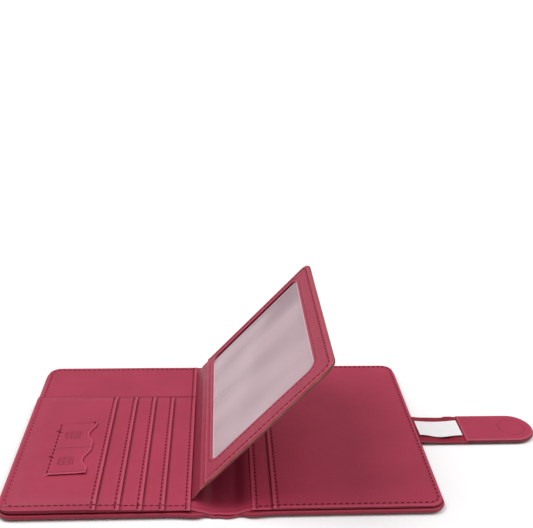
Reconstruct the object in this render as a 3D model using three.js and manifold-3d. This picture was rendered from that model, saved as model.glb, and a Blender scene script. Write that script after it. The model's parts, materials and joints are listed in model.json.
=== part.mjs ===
// Passport holder wallet, lying open. Millimetres, +Z up.
// X runs across the open wallet, Y along the spine towards its head, Z up from the table.
// The origin is the middle of the spine's underside. The front cover lies at -X, the back
// cover at +X, and the closing strap lies stretched out past the back cover's fore-edge.
import * as THREE from 'three';
import { mergeVertices } from 'three/addons/utils/BufferGeometryUtils.js';
import Module from 'manifold-3d';

const wasm = await Module();
wasm.setup();

// ---- driving dimensions ----
const HEIGHT = 142;            // head to tail, along the spine
const SPINE_WIDTH = 16;        // between the two cover folds
const COVER_WIDTH = 100.5;     // cover fold to fore-edge
const CORNER_RADIUS = 8;       // fore-edge corners

const GAP = 0.1;               // air between stacked layers
const SKIN = 1.0;
const FOAM = 1.0;
const BOARD = 0.8;
const LINING = 0.4;
const SLIP = 0.5;              // slip panels and the passport pocket
const CARD = 0.4;              // card pocket leather
const RIM_WIDTH = 3.5;         // turned edge of each cover
const CORE_INSET = 4;          // foam and board stop this far inside the outline
const LINING_INSET = 0.5;
const CORE_START = 3.2;        // foam, board and lining start this far from the fold

const SLIP_EDGE_X = -16;       // free edge of the left slip panel
const BACK_SLIP_EDGE_X = 13.4;
const PASSPORT_EDGE_X = 23.6;
const CARD_EDGES_X = [-61, -49.7, -39, -28.4];   // card pockets 1 to 4, front one first
const CARD_STACK_HEIGHT = 105; // pocket stack, from the tail edge up

const SIM_LEFT = -90;
const SIM_RIGHT = -69;
const SIM_TAIL = 27;           // from the tail edge
const SIM_CELL = 23.25;        // height of one of its two cells
const SIM_THICKNESS = 0.5;

const WELT_X = -12.5;          // sewn line of the page
const WELT_BASE_Z = 3.7;       // fold where the welt stands on the lining
const WELT_TOP_Z = 8.7;        // fold where the page's tab starts
const WELT_THICKNESS = 1.0;
const PAGE_LEAN = 47.5;        // degrees above the table
const PAGE_REACH = 94;         // welt fold to the page's free edge
const PAGE_HEIGHT = 124;
const PAGE_TURN_REACH = 3.5;   // welt fold to the fold that turns the page over
const PAGE_START = 5.5;        // welt fold to the stiff page
const PAGE_HALF_THICKNESS = 1.1;
const PAGE_LEATHER = 0.75;     // frame and backing, each
const PAGE_CORNER = 6;
const FILM_THICKNESS = 0.3;
const FILM_MARGIN = 4;
const WINDOW = { left: 10.5, right: 83, tail: 13, head: 6, radius: 5 };

const STRAP_WIDTH = 25.5;
const STRAP_Z = 1.9;           // mid-plane of the strap where it leaves the seam
const STRAP_THICKNESS = 1.2;
const STRAP_FOLD_X = 109.4;
const STRAP_LINK = 11.6;       // between the strap's folds
const STRAP_TAB = 42.5;        // last fold to the tip
const TAB_LEATHER = 1.0;
const MAGNET_RADIUS = 7;
const MAGNET_THICKNESS = 0.8;
const SNAP_FROM_TIP = 12.5;
const SNAP_PLAY = 0.3;

const LABEL_WIDTH = 15;
const LABEL_THICKNESS = 0.3;

const EMBLEM_X = -28;
const EMBLEM_Y = 50.5;
const EMBLEM_LENGTH = 17.8;
const EMBLEM_THICKNESS = 0.25;
const EMBLEM_RECESS = 0.35;
const EMBLEM_PLAY = 0.15;

// ---- levels worked out from the thicknesses ----
const FOLD_X = SPINE_WIDTH / 2;
const FORE_X = FOLD_X + COVER_WIDTH;
const HALF_HEIGHT = HEIGHT / 2;
const TAIL_Y = -HALF_HEIGHT;
const FOAM_Z = SKIN + GAP;
const BOARD_Z = FOAM_Z + FOAM + GAP;
const RIM_TOP_Z = BOARD_Z + BOARD;
const LINING_Z = RIM_TOP_Z + GAP;
const SLIP_Z = LINING_Z + LINING + GAP;
const POCKET_Z = SLIP_Z + SLIP + GAP;
const CURVE_SEGMENTS = 6;

// ---- materials ----
const burgundy = new THREE.MeshStandardMaterial({ color: 0x9a3647, roughness: 0.55, metalness: 0 });
const innerBurgundy = new THREE.MeshStandardMaterial({ color: 0xa8485a, roughness: 0.6, metalness: 0 });
const foamGrey = new THREE.MeshStandardMaterial({ color: 0xd8d4cc, roughness: 0.95, metalness: 0 });
const boardGrey = new THREE.MeshStandardMaterial({ color: 0x9c9384, roughness: 0.9, metalness: 0 });
const roseGold = new THREE.MeshStandardMaterial({ color: 0xf0cfae, roughness: 0.3, metalness: 0.9 });
const filmGrey = new THREE.MeshStandardMaterial({
  color: 0xc4aab2, roughness: 0.25, metalness: 0, transparent: true, opacity: 0.6,
});
const steel = new THREE.MeshStandardMaterial({ color: 0x8d9096, roughness: 0.35, metalness: 1 });
const wovenWhite = new THREE.MeshStandardMaterial({ color: 0xf2f1ee, roughness: 0.85, metalness: 0 });

// ---- helpers ----

// A plate with an outline in XY, from z = low to z = low + thickness.
function plateGeometry(shape, low, thickness) {
  const geometry = new THREE.ExtrudeGeometry(shape, {
    depth: thickness, bevelEnabled: false, curveSegments: CURVE_SEGMENTS,
  });
  return geometry.translate(0, 0, low);
}

function part(name, geometry, material) {
  const mesh = new THREE.Mesh(geometry, material);
  mesh.name = name;
  return mesh;
}

function toSolid(geometry) {
  const bare = geometry.clone();
  bare.deleteAttribute('normal');
  bare.deleteAttribute('uv');
  const merged = mergeVertices(bare, 1e-4);
  return new wasm.Manifold(new wasm.Mesh({
    numProp: 3,
    vertProperties: Float32Array.from(merged.attributes.position.array),
    triVerts: Uint32Array.from(merged.index.array),
  }));
}

function toGeometry(solid) {
  const mesh = solid.getMesh();
  const geometry = new THREE.BufferGeometry();
  geometry.setAttribute('position', new THREE.BufferAttribute(mesh.vertProperties, 3));
  geometry.setIndex(new THREE.BufferAttribute(mesh.triVerts, 1));
  geometry.computeVertexNormals();
  return geometry;
}

function cut(geometry, ...tools) {
  return toGeometry(tools.reduce((solid, tool) => solid.subtract(toSolid(tool)), toSolid(geometry)));
}

function disc(x, y, radius, low, thickness) {
  const shape = new THREE.Shape();
  shape.absarc(x, y, radius, 0, 2 * Math.PI, false);
  return new THREE.ExtrudeGeometry(shape, { depth: thickness, bevelEnabled: false, curveSegments: 16 })
    .translate(0, 0, low);
}

function boxBetween(x0, x1, y0, y1, z0, z1) {
  return new THREE.BoxGeometry(x1 - x0, y1 - y0, z1 - z0)
    .translate((x0 + x1) / 2, (y0 + y1) / 2, (z0 + z1) / 2);
}

// A rectangle whose two corners on the outer side (xOut) are rounded.
// It works on either side of the spine, because xOut may lie left or right of xIn.
function coverOutline(xIn, xOut, yLow, yHigh, radius) {
  const side = Math.sign(xOut - xIn);
  const shape = new THREE.Shape();
  shape.moveTo(xIn, yLow);
  shape.lineTo(xOut - side * radius, yLow);
  shape.absarc(xOut - side * radius, yLow + radius, radius, -Math.PI / 2, side > 0 ? 0 : -Math.PI, side < 0);
  shape.lineTo(xOut, yHigh - radius);
  shape.absarc(xOut - side * radius, yHigh - radius, radius, side > 0 ? 0 : Math.PI, Math.PI / 2, side < 0);
  shape.lineTo(xIn, yHigh);
  shape.closePath();
  return shape;
}

function roundedRectangle(target, x0, x1, y0, y1, radius) {
  target.moveTo(x0 + radius, y0);
  target.lineTo(x1 - radius, y0);
  target.absarc(x1 - radius, y0 + radius, radius, -Math.PI / 2, 0, false);
  target.lineTo(x1, y1 - radius);
  target.absarc(x1 - radius, y1 - radius, radius, 0, Math.PI / 2, false);
  target.lineTo(x0 + radius, y1);
  target.absarc(x0 + radius, y1 - radius, radius, Math.PI / 2, Math.PI, false);
  target.lineTo(x0, y0 + radius);
  target.absarc(x0 + radius, y0 + radius, radius, Math.PI, 1.5 * Math.PI, false);
  return target;
}

// An outline that follows the cover's, this far inside it, from xIn out to the fore-edge.
function insetOutline(side, xIn, inset) {
  const radius = Math.max(CORNER_RADIUS - inset, 1);
  return coverOutline(xIn, side * (FORE_X - inset), TAIL_Y + inset, HALF_HEIGHT - inset, radius);
}

// ---- covers ----

// The skin is a shallow tray: a sheet whose three outer edges are turned up over the board.
function coverSkin(side) {
  const start = side * (FOLD_X + 0.6);
  const sheet = plateGeometry(insetOutline(side, start, 0), 0, SKIN);
  const block = plateGeometry(insetOutline(side, side * (FOLD_X + CORE_START), 0), 0, RIM_TOP_Z);
  const hollow = plateGeometry(insetOutline(side, side * FOLD_X, RIM_WIDTH), SKIN, RIM_TOP_Z);
  return toGeometry(toSolid(block).subtract(toSolid(hollow)).add(toSolid(sheet)));
}

function foamSheet(side) {
  return plateGeometry(insetOutline(side, side * (FOLD_X + CORE_START), CORE_INSET), FOAM_Z, FOAM);
}

function boardSheet(side) {
  return plateGeometry(insetOutline(side, side * (FOLD_X + CORE_START), CORE_INSET), BOARD_Z, BOARD);
}

function liningSheet(side) {
  return plateGeometry(insetOutline(side, side * (FOLD_X + CORE_START), LINING_INSET), LINING_Z, LINING);
}

// ---- emblem ----

// A plain aeroplane pictogram, nose up, symmetrical about its own Y axis.
function planeOutline() {
  const nose = [0, 0.51];
  const half = [
    [0.034, 0.49], [0.063, 0.41], [0.073, 0.30], [0.073, 0.165], [0.48, -0.145], [0.48, -0.235],
    [0.073, -0.09], [0.054, -0.32], [0.19, -0.43], [0.19, -0.49], [0.03, -0.445],
  ];
  const mirrored = half.map(([x, y]) => [-x, y]).reverse();
  const points = [nose, ...half, ...mirrored];
  return new THREE.Shape(points.map(([x, y]) => new THREE.Vector2(x, y).multiplyScalar(EMBLEM_LENGTH)));
}

// The pictogram lies on the skin's underside, so it reads the right way round from below,
// with its nose up and away from the spine.
function emblemGeometry(low, thickness) {
  return plateGeometry(planeOutline(), low, thickness)
    .rotateZ(Math.PI / 4)
    .translate(EMBLEM_X, EMBLEM_Y, 0);
}

// The recess is the pictogram's own outline grown on every side by the play.
function cutEmblemRecess(skin) {
  const directions = 8;
  let solid = toSolid(skin);
  for (let i = 0; i < directions; i += 1) {
    const angle = (i / directions) * 2 * Math.PI;
    const shifted = emblemGeometry(-1, 1 + EMBLEM_RECESS)
      .translate(EMBLEM_PLAY * Math.cos(angle), EMBLEM_PLAY * Math.sin(angle), 0);
    solid = solid.subtract(toSolid(shifted));
  }
  return toGeometry(solid);
}

// ---- SIM patch ----

// The right edge has one finger notch for each of the two cells.
function simOutline() {
  const tail = TAIL_Y + SIM_TAIL;
  const head = tail + 2 * SIM_CELL;
  const notch = [[0, 0.1], [-1.0, 0.22], [-2.9, 0.40], [-3.2, 0.52], [-2.7, 0.66], [-0.8, 0.80], [0, 0.92]];
  const shape = new THREE.Shape();
  shape.moveTo(SIM_LEFT, head);
  shape.lineTo(SIM_LEFT, tail);
  shape.lineTo(SIM_RIGHT - 1, tail);
  const points = [];
  for (let cell = 0; cell < 2; cell += 1) {
    for (const [inward, fromTop] of notch.slice().reverse()) {
      points.push(new THREE.Vector2(SIM_RIGHT + inward, tail + (cell + 1 - fromTop) * SIM_CELL));
    }
  }
  shape.lineTo(points[0].x, points[0].y);
  points.slice(1).forEach((point) => shape.lineTo(point.x, point.y));
  shape.lineTo(SIM_RIGHT, head);
  shape.closePath();
  return shape;
}

// ---- strap ----

function strapPiece(x0, x1, low, thickness) {
  return boxBetween(x0, x1, -STRAP_WIDTH / 2, STRAP_WIDTH / 2, low, low + thickness);
}

// The tab ends in a half circle as wide as the strap.
function tabOutline(x0, xTip) {
  const radius = STRAP_WIDTH / 2;
  const shape = new THREE.Shape();
  shape.moveTo(x0, -radius);
  shape.lineTo(xTip - radius, -radius);
  shape.absarc(xTip - radius, 0, radius, -Math.PI / 2, Math.PI / 2, false);
  shape.lineTo(x0, radius);
  shape.closePath();
  return new THREE.Shape(shape.getPoints(16));
}

// ---- assembly ----

const STRAP_BEND_X = STRAP_FOLD_X + STRAP_LINK;
const STRAP_SNAP_X = STRAP_BEND_X + STRAP_LINK;
const STRAP_TIP_X = STRAP_SNAP_X + STRAP_TAB;
const MAGNET_X = STRAP_TIP_X - SNAP_FROM_TIP;
// Closed, the tab lies folded back over the front cover, so the keeper sits under the magnet.
const KEEPER_X = -(STRAP_FOLD_X - STRAP_TAB + SNAP_FROM_TIP);

function backCover() {
  const group = new THREE.Group();
  const strapHalf = STRAP_WIDTH / 2 + 0.4;
  const notch = boxBetween(FORE_X - RIM_WIDTH - 1, FORE_X + 1, -strapHalf, strapHalf, SKIN, RIM_TOP_Z + 1);
  group.add(part('back_skin', cut(coverSkin(1), notch), burgundy));
  group.add(part('back_foam', foamSheet(1), foamGrey));
  group.add(part('back_board', boardSheet(1), boardGrey));
  group.add(part('back_lining', liningSheet(1), innerBurgundy));
  const slip = insetOutline(1, BACK_SLIP_EDGE_X, LINING_INSET);
  group.add(part('back_slip_panel', plateGeometry(slip, SLIP_Z, SLIP), innerBurgundy));
  const pocket = insetOutline(1, PASSPORT_EDGE_X, LINING_INSET);
  group.add(part('passport_pocket', plateGeometry(pocket, POCKET_Z, SLIP), innerBurgundy));
  const anchor = strapPiece(FORE_X - RIM_WIDTH + 0.2, STRAP_FOLD_X - 0.35, STRAP_Z - STRAP_THICKNESS / 2,
    STRAP_THICKNESS);
  group.add(part('strap_anchor', anchor, burgundy));
  return group;
}

function spine() {
  const group = new THREE.Group();
  const skinHalf = FOLD_X - 0.6;
  const liningHalf = FOLD_X - 1.4;
  const skin = boxBetween(-skinHalf, skinHalf, TAIL_Y, HALF_HEIGHT, 0, SKIN);
  group.add(part('spine_skin', skin, burgundy));
  const liningLow = SKIN + 2 * GAP;
  const lining = boxBetween(-liningHalf, liningHalf, TAIL_Y + LINING_INSET, HALF_HEIGHT - LINING_INSET,
    liningLow, liningLow + LINING);
  group.add(part('spine_lining', lining, innerBurgundy));
  return group;
}

function frontCover() {
  const group = new THREE.Group();
  group.add(part('front_skin', cutEmblemRecess(coverSkin(-1)), burgundy));
  group.add(part('plane_emblem', emblemGeometry(0.05, EMBLEM_THICKNESS), roseGold));
  const keeperHole = disc(KEEPER_X, 0, MAGNET_RADIUS + SNAP_PLAY, FOAM_Z - 1, FOAM + 2);
  group.add(part('front_foam', cut(foamSheet(-1), keeperHole), foamGrey));
  const keeper = disc(KEEPER_X, 0, MAGNET_RADIUS, FOAM_Z, MAGNET_THICKNESS);
  group.add(part('snap_keeper', keeper, steel));
  group.add(part('front_board', boardSheet(-1), boardGrey));
  group.add(part('front_lining', liningSheet(-1), innerBurgundy));
  const slip = insetOutline(-1, SLIP_EDGE_X, LINING_INSET);
  group.add(part('front_slip_panel', plateGeometry(slip, SLIP_Z, SLIP), innerBurgundy));
  cardPockets().forEach((pocket) => group.add(pocket));
  return group;
}

// The pocket stack covers the tail end of the front cover. Only its tail corner is rounded.
function stackOutline(edgeX) {
  const outer = -(FORE_X - LINING_INSET);
  const tail = TAIL_Y + LINING_INSET;
  const head = TAIL_Y + CARD_STACK_HEIGHT;
  const radius = CORNER_RADIUS - LINING_INSET;
  const shape = new THREE.Shape();
  shape.moveTo(edgeX, head);
  shape.lineTo(outer, head);
  shape.lineTo(outer, tail + radius);
  shape.absarc(outer + radius, tail + radius, radius, Math.PI, 1.5 * Math.PI, false);
  shape.lineTo(edgeX, tail);
  shape.closePath();
  return shape;
}

function cardPockets() {
  const pieces = [];
  let level = POCKET_Z;
  pieces.push(part('card_pocket_base', plateGeometry(stackOutline(SLIP_EDGE_X), level, CARD), innerBurgundy));
  for (let number = CARD_EDGES_X.length; number >= 1; number -= 1) {
    level += CARD + GAP;
    const sheet = plateGeometry(stackOutline(CARD_EDGES_X[number - 1]), level, CARD);
    pieces.push(part(`card_pocket_${number}`, sheet, innerBurgundy));
  }
  level += CARD + GAP;
  pieces.push(part('sim_patch', plateGeometry(simOutline(), level, SIM_THICKNESS), innerBurgundy));
  return pieces;
}

// The page leans on its welt. Its group turns with the page: local X runs from the welt fold
// to the free edge, local Z is the window side.
function idPage() {
  const group = new THREE.Group();
  const half = PAGE_HEIGHT / 2;
  const welt = boxBetween(WELT_X - WELT_THICKNESS / 2, WELT_X + WELT_THICKNESS / 2, -half, half,
    WELT_BASE_Z + 0.5, WELT_TOP_Z - 0.65);
  group.add(part('page_welt', welt, innerBurgundy));

  const page = new THREE.Group();
  page.position.set(WELT_X, 0, WELT_TOP_Z);
  page.rotation.y = -THREE.MathUtils.degToRad(PAGE_LEAN);
  const tab = boxBetween(0.65, PAGE_TURN_REACH - 0.6, -half, half, -WELT_THICKNESS / 2, WELT_THICKNESS / 2);
  page.add(part('page_tab', tab, innerBurgundy));

  const outline = () => coverOutline(PAGE_START, PAGE_REACH, -half, half, PAGE_CORNER);
  const backing = plateGeometry(outline(), -PAGE_HALF_THICKNESS, PAGE_LEATHER);
  page.add(part('page_backing', backing, innerBurgundy));

  const windowTail = -half + WINDOW.tail;
  const windowHead = half - WINDOW.head;
  const film = roundedRectangle(new THREE.Shape(), WINDOW.left - FILM_MARGIN, WINDOW.right + FILM_MARGIN,
    windowTail - FILM_MARGIN, windowHead + FILM_MARGIN, 2);
  page.add(part('window_film', plateGeometry(film, -FILM_THICKNESS / 2, FILM_THICKNESS), filmGrey));

  const frame = outline();
  frame.holes.push(roundedRectangle(new THREE.Path(), WINDOW.left, WINDOW.right, windowTail, windowHead,
    WINDOW.radius));
  const frameLow = PAGE_HALF_THICKNESS - PAGE_LEATHER;
  page.add(part('page_frame', plateGeometry(frame, frameLow, PAGE_LEATHER), innerBurgundy));
  group.add(page);
  return group;
}

function strap() {
  const group = new THREE.Group();
  const low = STRAP_Z - STRAP_THICKNESS / 2;
  const root = strapPiece(STRAP_FOLD_X + 0.35, STRAP_BEND_X - 0.75, low, STRAP_THICKNESS);
  group.add(part('strap_root', root, burgundy));
  const bend = strapPiece(STRAP_BEND_X + 0.75, STRAP_SNAP_X - 0.55, low, STRAP_THICKNESS);
  group.add(part('strap_bend', bend, burgundy));

  const tab = tabOutline(STRAP_SNAP_X + 0.55, STRAP_TIP_X);
  const liningLow = STRAP_Z;
  const outerLow = STRAP_Z - GAP - TAB_LEATHER;
  const magnetLow = STRAP_Z - GAP / 2 - MAGNET_THICKNESS / 2;
  const recess = disc(MAGNET_X, 0, MAGNET_RADIUS + SNAP_PLAY, magnetLow - GAP, MAGNET_THICKNESS + 2 * GAP);
  group.add(part('strap_tab_outer', cut(plateGeometry(tab, outerLow, TAB_LEATHER), recess), burgundy));
  group.add(part('snap_magnet', disc(MAGNET_X, 0, MAGNET_RADIUS, magnetLow, MAGNET_THICKNESS), steel));
  group.add(part('strap_tab_lining', cut(plateGeometry(tab, liningLow, TAB_LEATHER), recess), innerBurgundy));
  return group;
}

// The woven label is sewn into the strap's seam and lies on the strap, so it folds with it.
function label() {
  const group = new THREE.Group();
  const low = STRAP_Z + STRAP_THICKNESS / 2 + GAP;
  const piece = (x0, x1) => boxBetween(x0, x1, -LABEL_WIDTH / 2, LABEL_WIDTH / 2, low, low + LABEL_THICKNESS);
  group.add(part('label_sewn_half', piece(STRAP_FOLD_X + 0.55, STRAP_BEND_X - 1.15), wovenWhite));
  group.add(part('label_free_half', piece(STRAP_BEND_X + 1.15, STRAP_SNAP_X - 0.7), wovenWhite));
  return group;
}

const wallet = new THREE.Group();
wallet.add(backCover(), spine(), frontCover(), idPage(), strap(), label());

export default wallet;
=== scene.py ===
"""Passport holder wallet: leather, thread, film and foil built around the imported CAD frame.

Lengths are in millimetres unless a comment says otherwise.
"""

import json
import math

import bpy
import numpy as np
from mathutils import Matrix, Vector


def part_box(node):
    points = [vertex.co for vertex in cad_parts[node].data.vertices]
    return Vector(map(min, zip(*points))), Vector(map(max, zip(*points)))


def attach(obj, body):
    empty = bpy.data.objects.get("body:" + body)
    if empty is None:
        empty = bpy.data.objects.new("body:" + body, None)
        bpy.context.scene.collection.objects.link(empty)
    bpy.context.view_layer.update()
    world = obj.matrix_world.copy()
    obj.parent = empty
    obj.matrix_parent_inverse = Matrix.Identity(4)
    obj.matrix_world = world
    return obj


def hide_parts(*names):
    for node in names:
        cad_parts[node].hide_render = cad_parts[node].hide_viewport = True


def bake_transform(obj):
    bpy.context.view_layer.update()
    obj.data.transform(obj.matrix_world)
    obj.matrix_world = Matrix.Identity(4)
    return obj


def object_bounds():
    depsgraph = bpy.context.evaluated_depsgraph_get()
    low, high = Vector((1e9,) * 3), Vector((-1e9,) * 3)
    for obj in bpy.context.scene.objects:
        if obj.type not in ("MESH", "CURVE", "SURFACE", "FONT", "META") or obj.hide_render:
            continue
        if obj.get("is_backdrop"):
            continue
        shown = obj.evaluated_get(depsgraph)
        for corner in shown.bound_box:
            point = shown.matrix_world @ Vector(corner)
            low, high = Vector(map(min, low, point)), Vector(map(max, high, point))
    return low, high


MM = 0.001
SIDES = ("left", "right", "tail", "head")
FREE_SIDES = ("right", "tail", "head")
NAMES = {-1: "front", 1: "back"}

# Cover leather
CORNER_RADIUS = 8.0
SEAM_INSET = 2.4
RIM_ROUND = 1.0
RIM_WIDTH = 3.4
COVER_STEP = 2.2
EMBLEM_STEP = 2.8
EMBLEM_SEAT = 0.34
COVER_PILLOW = 1.05
PILLOW_REACH = 15.0
CLOTH_STEP = 2.8
CLOTH_PRESSURE = 4.0
CLOTH_FRAMES = 20
CLOTH_KNEE = 0.3
SKIN_INNER = 1.05
SKIN_MIDDLE = 1.9
STRAP_SLOT = 1.2
BOARD_EDGE = 9.0
SPINE_FOLD = 9.5
SPINE_EDGE = 11.2
SPINE_BEND = (4.0, 12.0)
OUTER_PITCH = 3.25
OUTER_STITCH = 1.95
OUTER_THREAD = 0.62
LINING_TRIM = 0.6
LINING_STEP = 3.0
LINING_THICKNESS = 0.42

# Inner panels
INNER_CORNER = 7.0
INNER_STEP = 2.6
PANEL_ROUND = 0.75
PANEL_TRIM = 0.85
HALF_HEIGHT = 71.0
HEM_SEAM = 2.2
TAIL_SEAM = 4.2
SEAM_CORNER = 5.0
INNER_PITCH = 3.0
INNER_STITCH = 1.95
INNER_THREAD = 0.72
SUNK_THREAD = 0.44
UNDER_SHADE = 0.9
STACK_BASE = 4.1
SLIP_EDGE = 16.0
POCKET_HEAD = 34.0
POCKETS = ("card_pocket_base", "card_pocket_4", "card_pocket_3", "card_pocket_2", "card_pocket_1")
BACK_PANELS = {"back_slip_panel": "back_slip_leather", "passport_pocket": "passport_pocket_leather"}
PATCH_STEP = 0.4
PATCH_SLOPE = 0.055
PATCH_SEAM = 1.6
PATCH_LIFT = 6.0
PATCH_CURL = 0.32
NOTCH_DEPTH = 3.0

# Page, measured from its fold along the page
PAGE_START = 5.5
PAGE_REACH = 94.0
PAGE_HALF = 62.0
PAGE_CORNER = 6.0
PAGE_STEP = 3.0
WINDOW_START = 10.5
WINDOW_END = 83.0
WINDOW_TAIL = -49.0
WINDOW_HEAD = 56.0
WINDOW_RADIUS = 5.0
FILM_HALF = 0.14
FRAME_TOP = 1.1
FRAME_LOW = 0.35
PAGE_SEAM = 2.6
WINDOW_SEAM = 2.1
EDGE_INSET = 0.35
THREAD_START = 12.9
ARC_POINTS = 9
SIDE_POINTS = 48
HINGE_THICKNESS = 0.9
HINGE_TURN = 3.5

# Strap
STRAP_HALF = 12.75
STRAP_LEVEL = 1.9
STRAP_PLY = 0.6
STRAP_STEP = 0.6
TAB_STEP = 1.2
LABEL_PLY = 0.13
STRAP_START = 105.3
STRAP_FOLD = 115.2
TAB_START = 126.6
TAB_LINING_START = 133.8
STRAP_TIP = 175.1
ROOT_BEND = (106.0, 113.0)
FOLD_BEND = (116.0, 126.0)
TAB_BEND = (130.0, 140.0)
MAGNET_X = 162.6
MAGNET_RADIUS = 7.0

# Studio: the floor in millimetres, the camera in metres and degrees
FLOOR_REACH = 6000.0
FLOOR_LEVEL = -0.05
WORLD_STRENGTH = 0.28
CAMERA_PLACE = (-0.0021, -0.3942, 0.2616)
CAMERA_HEADING = -3.5
CAMERA_DOWN = 21.93
CAMERA_ROLL = 1.28
CAMERA_LENS = 56.12


# ---------- shapes ----------

def smooth(t):
    """A ramp from 0 to 1 with level ends."""
    t = np.clip(t, 0.0, 1.0)
    return t * t * (3.0 - 2.0 * t)


def rounded(d, radius):
    """Rises from 0 at the rim to 1 at radius inside it, along a quarter circle."""
    t = np.clip(1.0 - d / radius, 0.0, 1.0)
    return np.sqrt(1.0 - t * t)


def groove(d, width):
    """1 where d is 0, falling to 0 half a width away on both sides."""
    t = np.clip(np.abs(d) / (width / 2.0), 0.0, 1.0)
    return (1.0 - t * t) ** 2


def rolled(face, middle, d, radius):
    """A face rounded off towards middle at its rim, where d is the distance inside the rim."""
    return middle + (face - middle) * rounded(d, radius)


def ripple(x, y):
    """Slow unevenness of hand-laid leather, in millimetres."""
    slow = np.sin(x / 17.0 + 1.3) * np.sin(y / 23.0 + 0.4)
    quick = np.sin(x / 9.0 + y / 14.0 + 2.0)
    return 0.05 * slow + 0.025 * quick


def lines(low, high, step, near=()):
    """Grid lines about step apart, closer beside both ends and beside each line in near."""
    fine = np.array([0.0, 0.15, 0.4, 0.7, 1.05, 1.4, 1.8, 2.2, 2.6, 3.0, 3.5, 4.2, 5.2])
    count = max(2, round((high - low) / step) + 1)
    marks = [np.linspace(low, high, count), low + fine, high - fine]
    for line in near:
        marks += [line + fine[:8], line - fine[:8]]
    every = np.unique(np.round(np.concatenate(marks), 3))
    kept = [low]
    for value in every:
        if value - kept[-1] >= 0.12 and high - value >= 0.12:
            kept.append(value)
    return np.array(kept + [high])


class Outline:
    """A rectangle in plan whose corners may be rounded."""

    def __init__(self, x0, x1, y0, y1, radii=None):
        self.x0, self.x1, self.y0, self.y1 = x0, x1, y0, y1
        self.radii = radii or {}

    def centre(self, corner):
        """The centre of a corner's arc."""
        sx, sy = corner
        radius = self.radii[corner]
        x = self.x1 - radius if sx > 0 else self.x0 + radius
        y = self.y1 - radius if sy > 0 else self.y0 + radius
        return x, y

    def grid(self, step, near_x=(), near_y=()):
        """Grid points, with each corner's square patch bent onto its quarter disc."""
        xs = lines(self.x0, self.x1, step, near_x)
        ys = lines(self.y0, self.y1, step, near_y)
        x, y = np.meshgrid(xs, ys, indexing="ij")
        for (sx, sy), radius in self.radii.items():
            cx, cy = self.centre((sx, sy))
            u, v = (x - cx) * sx / radius, (y - cy) * sy / radius
            corner = (u > 0) & (v > 0)
            reach = np.maximum(u, v)
            low, high = np.minimum(u, v), np.where(corner, reach, 1.0)
            turn = math.pi / 4 * low / high
            angle = np.where(u >= v, turn, math.pi / 2 - turn)
            x = np.where(corner, cx + sx * radius * reach * np.cos(angle), x)
            y = np.where(corner, cy + sy * radius * reach * np.sin(angle), y)
        return x, y

    def inset(self, x, y, sides=SIDES):
        """How far a point lies inside the nearest of the named sides."""
        far = {
            "left": x - self.x0,
            "right": self.x1 - x,
            "tail": y - self.y0,
            "head": self.y1 - y,
        }
        d = np.minimum.reduce([far[side] for side in sides])
        for (sx, sy), radius in self.radii.items():
            pair = ("right" if sx > 0 else "left", "head" if sy > 0 else "tail")
            if pair[0] in sides and pair[1] in sides:
                cx, cy = self.centre((sx, sy))
                u, v = (x - cx) * sx, (y - cy) * sy
                d = np.where((u > 0) & (v > 0), radius - np.hypot(u, v), d)
        return d


def add_mesh(name, points, faces, material, painted_light=None, place=None):
    """A smooth-shaded object from points in millimetres. Its optional per-point values paint light:
    painted shade in grooves below 0, painted highlights on edges above 0.
    """
    points = np.asarray(points, float)
    if place is not None:
        points = place(points)
    mesh = bpy.data.meshes.new(name)
    mesh.from_pydata((points * MM).tolist(), [], faces)
    mesh.polygons.foreach_set("use_smooth", [True] * len(mesh.polygons))
    mesh.set_sharp_from_angle(angle=math.radians(60.0))
    mesh.materials.append(material)
    if painted_light is not None:
        attribute = mesh.attributes.new("painted_light", "FLOAT", "POINT")
        attribute.data.foreach_set("value", np.asarray(painted_light, np.float32))
    mesh.validate()
    mesh.update()
    obj = bpy.data.objects.new(name, mesh)
    bpy.context.scene.collection.objects.link(obj)
    return obj


def grid_faces(columns, rows, first=0, flip=False):
    """Quads over a grid of points stored column by column."""
    faces = []
    for i in range(columns - 1):
        for j in range(rows - 1):
            a = first + i * rows + j
            quad = (a, a + rows, a + rows + 1, a + 1)
            faces.append(quad[::-1] if flip else quad)
    return faces


def closed_faces(columns, rows):
    """Faces of a top grid, of the bottom grid stored after it, and of the wall round both."""
    count = columns * rows
    faces = grid_faces(columns, rows) + grid_faces(columns, rows, count, flip=True)
    rim = [i * rows for i in range(columns)]
    rim += [(columns - 1) * rows + j for j in range(1, rows)]
    rim += [i * rows + rows - 1 for i in range(columns - 2, -1, -1)]
    rim += [j for j in range(rows - 2, 0, -1)]
    for a, b in zip(rim, rim[1:] + rim[:1]):
        faces.append((b, a, a + count, b + count))
    return faces


def stacked(x, y, top, bottom):
    """The points of a top surface, then those of a bottom surface."""
    return np.concatenate([np.stack([x, y, z], axis=-1).reshape(-1, 3) for z in (top, bottom)])


def add_plate(name, grid, top, bottom, material, painted_light=None, place=None, under=0.0):
    """A closed sheet between a top and a bottom surface over one grid, darker below by under."""
    x, y = grid
    both = None
    if painted_light is not None:
        flat = np.broadcast_to(painted_light, x.shape).reshape(-1)
        both = np.concatenate([flat, flat - under])
    return add_mesh(name, stacked(x, y, top, bottom), closed_faces(*x.shape), material, both, place)


def paint_edge(obj, material, chosen):
    """Puts an edge paint on the faces for which chosen is true."""
    obj.data.materials.append(material)
    for face in obj.data.polygons:
        if chosen(face):
            face.material_index = 1


def rounded_path(corners, radius):
    """A dense polyline through corners, with each inner corner turned into an arc."""
    corners = [np.array(c, float) for c in corners]
    points = [corners[0]]
    for before, here, after in zip(corners, corners[1:], corners[2:]):
        arrive = (here - before) / np.linalg.norm(here - before)
        leave = (after - here) / np.linalg.norm(after - here)
        start, end = here - arrive * radius, here + leave * radius
        for t in np.linspace(0, math.pi / 2, 9):
            points.append(start + arrive * radius * math.sin(t) + leave * radius * (1 - math.cos(t)))
        points.append(end)
    points.append(corners[-1])
    return np.array(points)


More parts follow.
